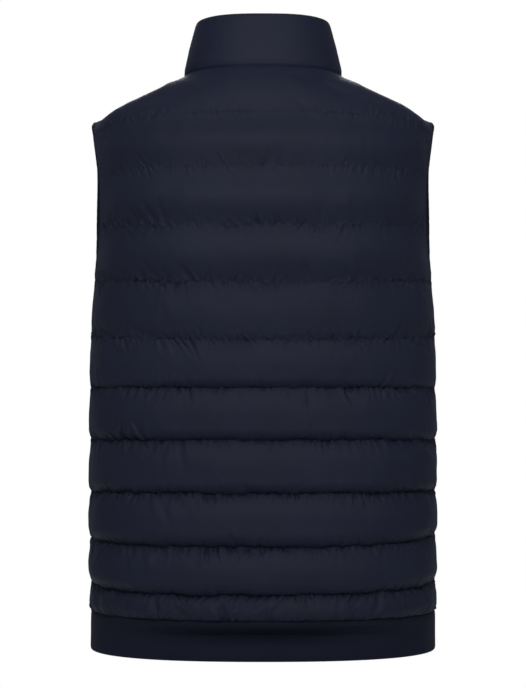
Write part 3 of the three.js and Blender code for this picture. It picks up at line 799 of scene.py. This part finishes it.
WIDEST = 3.4  # channels down, where a panel's shares are spaced out
HALF_COUNT = 148  # columns from the centre to the side
ROWS = np.concatenate([k + STEPS for k in range(len(SEAMS))] + [[len(SEAMS)]])


def even_shares(side, count):
    """Shares across half a panel, evenly spaced along the cloth, with the neckline's end among them."""
    s = np.linspace(0, 1, 4001)
    run = run_along(row_points(side, s, WIDEST))
    cut = float(np.interp(NECK_END, s, run))
    first = max(int(round(count * cut / run[-1])), 2)
    beyond = np.linspace(cut, run[-1], count - first + 1)[1:]
    shares = np.interp(np.concatenate([np.linspace(0, cut, first + 1), beyond]), run, s)
    shares[first] = NECK_END
    return shares


def kept_inside(i, v):
    """Whether the inside keeps a row: each seam, and above the armhole's foot each fourth row."""
    return v < ARMHOLE_SEAM and i % 4 == 0 or abs(v - round(v)) < 1e-9


KEPT = [i for i, v in enumerate(ROWS) if kept_inside(i, v)]

back_shares = even_shares("back", HALF_COUNT)
front_shares = even_shares("front", HALF_COUNT)
panels = {
    "back": quilted("back", np.concatenate([back_shares[::-1], -back_shares[1:]]), ROWS, seed=2),
    "front_left": quilted("front", front_shares, ROWS, seed=9),
    "front_right": quilted("front", -front_shares, ROWS, seed=14),
}
for name, panel in panels.items():
    piece = panel_wall(name + "_quilting", panel, KEPT)
    dress(piece, shell_cloth, "shell", name)

# Stitching along the seams: a short raised thread at each stitch


def stitch_rows(name, lines, pitch=3.2, length=2.3, radius=0.24, lift=0.22):
    points = []
    faces = []
    ring = np.linspace(0, 2 * math.pi, 6)[:-1]
    for line, out in lines:
        run = run_along(line)
        for start in np.arange(pitch, run[-1] - pitch, pitch):
            at = [start, start + length * 0.5, start + length]
            middle = np.stack([np.interp(at, run, line[:, i]) for i in range(3)], axis=-1)
            up = np.array([np.interp(start, run, out[:, i]) for i in range(3)])
            over = np.cross(unit(middle[2] - middle[0]), up)
            faces += tube_faces(len(middle), len(ring), first=len(points))
            for centre, size, rise in zip(middle, (0.5, 1, 0.5), (0, lift, 0)):
                high = np.outer(rise + radius * size * np.sin(ring), up)
                wide = np.outer(radius * size * np.cos(ring), over)
                points += list(centre + high + wide)
    piece = make_mesh(name, points, faces, np.asarray(points)[:, [0, 2]], sharp=80)
    return dress(piece, thread, "shell")


STITCH_SINK = 0.05  # of the stitches into the cloth
for name, panel in panels.items():
    lines = []
    for row in seam_rows(ROWS)[:-1]:
        out = panel.out[row][2:-2]
        lines.append((panel.outside[row][2:-2] - out * STITCH_SINK, out))
    stitch_rows(name + "_stitches", lines)


# Columns of the collar and the hem, from the zip over the left side and the back to the zip again


def around(front, back):
    sides = [("front", s) for s in front] + [("back", s) for s in back[::-1]]
    sides += [("back", -s) for s in back[1:]] + [("front", -s) for s in front[::-1]]
    return sides


def collar_top(side, u):
    f = min(abs(u) / NECK_END, 1)
    start = math.asin(ZIP_GAP / COLLAR["half"]) if side == "front" else 0
    turn = mix(start, math.pi / 2, f)
    x = COLLAR["half"] * math.sin(turn)
    n = ROUNDNESS[side]
    y = COLLAR[side] * max(1 - (x / COLLAR["half"]) ** n, 0) ** (1 / n)
    if side == "front":
        z = COLLAR["z"] - COLLAR["side_fall"] - COLLAR["drop"] * max(math.cos(turn), 0) ** FALL["collar"]
    else:
        z = COLLAR["z"] - COLLAR["side_fall"] * math.sin(turn) ** 4
    return np.array([math.copysign(x, u), OUTWARDS[side] * y, z])


def neck_point(side, u):
    return row_points(side, np.array([float(u)]), 0.0)[0]


COLLAR_CLOTH = 62  # the height of its cloth
CAP_FROM = 0.93  # the share of its height at which the top edge's turn starts
CAP_THICK = 5.2
CAP_LENGTHS = (58, 70)  # up the outside and over the top edge
COLLAR_GIRTH = 130  # up the outside, over the top edge and down the inside


def collar():
    neck_share = np.linspace(0, NECK_END, 76)
    columns = around(neck_share, neck_share)
    foot = np.array([neck_point(side, u) for side, u in columns])
    top = np.array([collar_top(side, u) for side, u in columns])
    height = np.linalg.norm(top - foot, axis=-1)
    rise = unit(top - foot)
    out = unit(np.cross(unit(np.gradient(foot + top, axis=0)), rise))
    run = run_along(foot)
    ups = np.concatenate([np.linspace(-0.02, 0.1, 7), np.linspace(0.13, CAP_FROM, 26)])
    thick_at = [-0.02, 0.0, 0.04, 0.12, 0.5, 0.88, CAP_FROM]
    thick = np.interp(ups, thick_at, [0.8, 1.6, 3.6, 4.9, 5.7, 5.4, CAP_THICK])
    swell = np.minimum(1, ups * 6)
    turn = np.linspace(0, math.pi, 11)[1:-1]
    cap_out = CAP_THICK / 2 * (1 + np.cos(turn))
    cap_across = np.linspace(*CAP_LENGTHS, len(turn))
    across = np.concatenate([ups * COLLAR_CLOTH, cap_across, COLLAR_GIRTH - ups[::-1] * COLLAR_CLOTH])
    sections = []
    lengths = []
    for i in range(len(columns)):
        broad = 1.6 * (noise(run[i] / 70, ups * 1.2, 6) - 0.5)
        narrow = 0.9 * (noise(run[i] / 38, ups * 2.0, 5) - 0.5)
        gather = 0.5 * puckers(np.full_like(ups, run[i]), ups * COLLAR_CLOTH, 11)
        wall = thick + (narrow + broad + gather) * swell
        cap_up = height[i] * (CAP_FROM + (1 - CAP_FROM) * np.sin(turn) ** 0.8)
        inner = np.where(ups < 0.02, 0.4, 0)[::-1]
        up = np.concatenate([ups * height[i], cap_up, ups[::-1] * height[i]])
        beyond = np.concatenate([wall, cap_out, inner])
        sections.append(foot[i] + np.outer(up, rise[i]) + np.outer(beyond, out[i]))
        lengths.append(np.stack([np.full_like(across, run[i]), across], axis=-1))
    return sweep("collar_cloth", sections, lengths)


dress(collar(), shell_cloth, "shell", "collar")


HEM_GIRTH = 100  # down the outside, round the lower edge and up the inside
HEM_TURN = (44, 50)  # down the outside and round the lower edge
HEM_ROUND = 3
HEM_DENT = 17  # how far the band is drawn in at the centre back
AIM_Z = -600.0  # the height at which the band's direction is read


def band_point(side, hand, s, z):
    return on_form(side, hand * spread(side, s, z), z)


def band_normal(side, hand, s):
    ahead = band_point(side, hand, min(s + 0.002, 1), AIM_Z)
    behind = band_point(side, hand, max(s - 0.002, 0), AIM_Z)
    way = ahead - behind
    out = unit(np.array([way[1], -way[0], 0]))
    return out if out @ (ahead * (1, 1, 0)) > 0 else -out


def drawn_in(side, u):
    """How much the band is gathered and folded under the last puff, most at the centre back."""
    if side == "front":
        return 0.2 * float(1 - ramp((abs(u) - 0.4) / 0.6))
    return 0.45 * math.exp(-((u / 0.55) ** 4)) + 0.55 * math.exp(-((u / 0.26) ** 2))


def hem():
    columns = around(front_shares[::2], back_shares[::2])
    below_top = np.linspace(HEM_TOP - 1.2, HEM_BOTTOM + HEM_ROUND, 38)
    heights = np.concatenate([[HEM_TOP - SEAM_GAP], below_top])
    tops = [band_point(side, hand_of(u), abs(u), heights[0]) for side, u in columns]
    run = run_along(np.array(tops))
    down = (HEM_TOP - heights) / (HEM_TOP - HEM_BOTTOM)
    fold = np.interp(down, [0, 0.09, 0.15, 0.36, 0.4, 0.45, 0.58, 0.85], [0, 0, 0.08, 0.94, 1, 0.93, 0.5, 0])
    plain = np.array([2.8, 3.6, 4.0, 4.1, 4.1, 4.2])
    gathered = np.array([3.0, 3.8, 3.2, 2.6, 3.4, 4.2])
    turn = np.linspace(0, math.pi, 7)[1:-1]
    cap_down = np.outer(np.sin(turn) ** 0.8, [0, 0, -HEM_ROUND])
    band = down * (HEM_TOP - HEM_BOTTOM)
    across = np.concatenate([band, np.linspace(*HEM_TURN, len(turn)), HEM_GIRTH - band[::-1]])
    sections = []
    lengths = []
    for (side, u), length in zip(columns, run):
        hand = int(hand_of(u))
        out = band_normal(side, hand, abs(u))
        share = drawn_in(side, u)
        inner = np.array([band_point(side, hand, abs(u), z) for z in heights])
        inner -= np.outer(HEM_DENT * share * fold, out)
        thick = np.interp(down, [0, 0.04, 0.12, 0.3, 0.55, 1], mix(plain, gathered, share))
        thick = thick + 0.35 * (noise(length / 55, down * 2, 15) - 0.5)
        thick = thick + 0.25 * (noise(length / 21, down * 2, 16) - 0.5)
        outer = inner + np.outer(thick, out)
        cap = inner[-1] + cap_down + np.outer(thick[-1] / 2 * (1 + np.cos(turn)), out)
        sections.append(np.concatenate([outer, cap, inner[::-1]]))
        lengths.append(np.stack([np.full_like(across, length), across], axis=-1))
    return sweep("hem_band_knit", sections, lengths), run[-1]


hem_piece, hem_run = hem()
dress(hem_piece, knit, "band", "hem_band")


BINDING_GIRTH = 14
TUCK_RUN = 18  # over this length from the shoulder tip the binding lies closer


def binding(hand, name):
    """The narrow bound edge of an armhole, a ring of rounded sections."""
    steps = np.linspace(0, 1, 16)[:-1]
    v = np.concatenate([k + steps for k in range(ARMHOLE_SEAM)] + [[ARMHOLE_SEAM]])
    u = np.array([hand * (1 - 2e-3), hand * 1.0])
    edges = []
    normals = []
    for side in ("back", "front"):
        rows = np.array([row_points(side, u, value) for value in v])
        out = unit(np.cross(np.gradient(rows[:, 1], axis=0), rows[:, 1] - rows[:, 0]))
        edges.append(rows[:, 1])
        normals.append(out if out[len(v) // 2, 0] * hand >= 0 else -out)
    points = np.concatenate([edges[0], edges[1][::-1][1:-1]])
    out = np.concatenate([normals[0], normals[1][::-1][1:-1]])
    for _ in range(6):
        out = unit(out + np.roll(out, 1, axis=0) + np.roll(out, -1, axis=0))
    away = -hand * unit(np.cross(out, np.roll(points, -1, axis=0) - np.roll(points, 1, axis=0)))
    run = run_along(points)
    turn = np.linspace(0, 2 * math.pi, 15)[:-1]
    sections = []
    lengths = []
    for i, length in enumerate(run):
        gather = 0.12 * math.sin(length * math.pi / 3.5) + 0.3 * (noise(length / 12, 0, 3) - 0.5)
        tuck = mix(0.3, 1, float(ramp(min(length, run[-1] - length) / TUCK_RUN)))
        wide = tuck * (2.0 + 2.4 * np.cos(turn))
        high = mix(0.35, 1, tuck) * (1.5 + (2.3 + gather) * np.sin(turn))
        sections.append(points[i] + np.outer(wide, away[i]) + np.outer(high, out[i]))
        lengths.append([(length, BINDING_GIRTH * b / (2 * math.pi)) for b in turn])
    piece = sweep(name + "_cloth", sections, lengths, ring=True)
    dress(piece, knit, "band", name)


binding(1, "armhole_binding_left")
binding(-1, "armhole_binding_right")

# Zip: its line up the centre front, its teeth, and the nodes that keep their own shapes

neck_front = np.array([-float(depth("front", np.array(NECK_Z - NECK_DROP))), NECK_Z - NECK_DROP])
collar_front = np.array([-COLLAR["front"], COLLAR["z"] - COLLAR["side_fall"] - COLLAR["drop"]])


def zip_line():
    z = np.linspace(HEM_BOTTOM + 1.5, neck_front[1], 60)
    body = np.stack([-depth("front", z), z], axis=-1)
    stand = neck_front + (collar_front - neck_front) * np.linspace(0, 1, 10)[1:, None]
    return np.concatenate([body, stand])


TEETH_FROM = 9.6  # along the zip, above its box
TOOTH_PITCH = 1.45
# A tooth's places across from the centre line, with half its width at each
TOOTH_ACROSS = ((-0.75, 0.34), (0.2, 0.6), (1.5, 0.5), (2.8, 0.62))
# Its places out from the panels' inside, with the share of that width at each
TOOTH_OUT = ((1.32, 1.0), (2.75, 1.0), (3.08, 0.62))


def zip_teeth():
    line = zip_line()
    run = run_along(line)
    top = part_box("zip_chain")[1].z / MM
    end = float(np.interp(top, line[:, 1], run)) - 1.2
    profile = [(-size, lift) for lift, size in TOOTH_OUT]
    profile += [(size, lift) for lift, size in reversed(TOOTH_OUT)]
    points = []
    faces = []
    lengths = []
    for i, start in enumerate(np.arange(TEETH_FROM, end, TOOTH_PITCH)):
        at = np.array([np.interp(start + 0.55, run, line[:, j]) for j in range(2)])
        way = unit(np.array([np.interp(start + 3, run, line[:, j]) for j in range(2)]) - at)
        off = np.array([-way[1], way[0]])
        hand = 1 if i % 2 else -1
        tooth = tube_faces(len(TOOTH_ACROSS), len(profile), first=len(points))
        faces += tooth if hand > 0 else [tuple(reversed(face)) for face in tooth]
        for x, half in TOOTH_ACROSS:
            for size, lift in profile:
                y, z = at + way * half * size + off * lift
                points.append((hand * x, y, z))
                lengths.append((hand * x, start + half * size))
    return make_mesh("zip_teeth", points, faces, lengths, sharp=35)


dress(zip_teeth(), plastic, "zip_teeth", "zip_chain")

# Half the zip tape's section: across from the centre line, and out from the panels' inside.
# The corded edge is by the teeth, and the outer part lies behind the front panel.
TAPE = [
    (0.12, -0.5),
    (12.0, -0.9),
    (12.0, -0.2),
    (6.9, -0.1),
    (6.1, 0.9),
    (2.9, 0.9),
    (2.5, 1.3),
    (1.9, 1.5),
    (1.3, 1.3),
    (0.9, 0.8),
    (0.3, 0.7),
]


def zip_tape(hand, name):
    line = zip_line()
    way = unit(np.gradient(line, axis=0))
    run = run_along(line)
    sections = []
    lengths = []
    for at, ahead, length in zip(line, way, run):
        sections.append([(hand * x, at[0] - ahead[1] * h, at[1] + ahead[0] * h) for x, h in TAPE])
        lengths.append([(x, length) for x, _ in TAPE])
    piece = sweep(name + "_weave", sections, lengths)
    dress(piece, tape_cloth, "zip_tape", name)


zip_tape(1, "zip_tape_left")
zip_tape(-1, "zip_tape_right")
for name in ("zip_box", "zip_slider", "zip_stop_left", "zip_stop_right", "zip_pull"):
    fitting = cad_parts[name]
    fitting.data.materials.clear()
    fitting.data.materials.append(enamel)
    soften = fitting.modifiers.new("soften", "BEVEL")
    soften.width = 0.00022
    soften.segments = 2
    soften.limit_method = "ANGLE"

# Studio: a plain pale floor, a white surround and soft light from above

scene = bpy.context.scene
scene.view_settings.view_transform = "Standard"

FLOOR_RADIUS = 2.1
FLOOR_Z = -1.12
FLOOR_SIDES = 96
floor_mesh = bpy.data.meshes.new("floor")
turn = np.linspace(0, 2 * math.pi, FLOOR_SIDES + 1)[:-1]
rim = [(FLOOR_RADIUS * math.cos(b), FLOOR_RADIUS * math.sin(b), FLOOR_Z) for b in turn]
floor_mesh.from_pydata(rim, [], [tuple(range(FLOOR_SIDES))])
floor = bpy.data.objects.new("floor", floor_mesh)
scene.collection.objects.link(floor)
pale = bpy.data.materials.new("floor_paint")
pale.use_nodes = True
pale.node_tree.nodes["Principled BSDF"].inputs["Base Color"].default_value = (0.95, 0.95, 0.95, 1)
pale.node_tree.nodes["Principled BSDF"].inputs["Roughness"].default_value = 0.9
floor_mesh.materials.append(pale)

world = bpy.data.worlds.new("surround")
scene.world = world
world.use_nodes = True
tree = world.node_tree
tree.nodes.clear()
seen = node(tree, "ShaderNodeBackground", in_Color=(1, 1, 1, 1), in_Strength=1.0)
lit = node(tree, "ShaderNodeBackground", in_Color=(0.95, 0.97, 1, 1), in_Strength=0.11)
path = node(tree, "ShaderNodeLightPath")
choose = node(tree, "ShaderNodeMixShader")
tree.links.new(path.outputs["Is Camera Ray"], choose.inputs["Fac"])
tree.links.new(lit.outputs[0], choose.inputs[1])
tree.links.new(seen.outputs[0], choose.inputs[2])
tree.links.new(choose.outputs[0], node(tree, "ShaderNodeOutputWorld").inputs["Surface"])


def soft_light(name, place, aim, size, power, spread=180):
    lamp = bpy.data.lights.new(name, "AREA")
    lamp.shape = "DISK"
    lamp.size = size
    lamp.energy = power
    lamp.spread = math.radians(spread)
    made = bpy.data.objects.new(name, lamp)
    scene.collection.objects.link(made)
    made.location = place
    way = Vector(aim) - Vector(place)
    made.rotation_mode = "QUATERNION"
    made.rotation_quaternion = way.to_track_quat("-Z", "Y")


soft_light("top_light", (0, 1.5, 1.8), (0, 0, -0.2), 1.5, 9.3)
soft_light("front_top_light", (0, -1.9, 1.7), (0, 0, -0.25), 1.8, 4)
soft_light("fill_light", (0, 1.75, 0.55), (0, 0, -0.09), 1.0, 4.15, spread=100)
soft_light("zip_side_light", (0, -2.7, 0.9), (0, 0, -0.25), 1.4, 34)
soft_light("left_light", (2.6, 1.2, 0.7), (0, 0, -0.2), 1.6, 4)
soft_light("right_light", (-2.6, 1.2, 0.7), (0, 0, -0.2), 1.6, 4)

camera_data = bpy.data.cameras.new("camera")
camera_data.lens = 104
camera_data.sensor_width = 36
camera_data.clip_end = 50
camera = bpy.data.objects.new("camera", camera_data)
scene.collection.objects.link(camera)
camera.location = (0, 2.3, -0.281)
camera.rotation_euler = (math.pi / 2, 0, math.pi)
scene.camera = camera
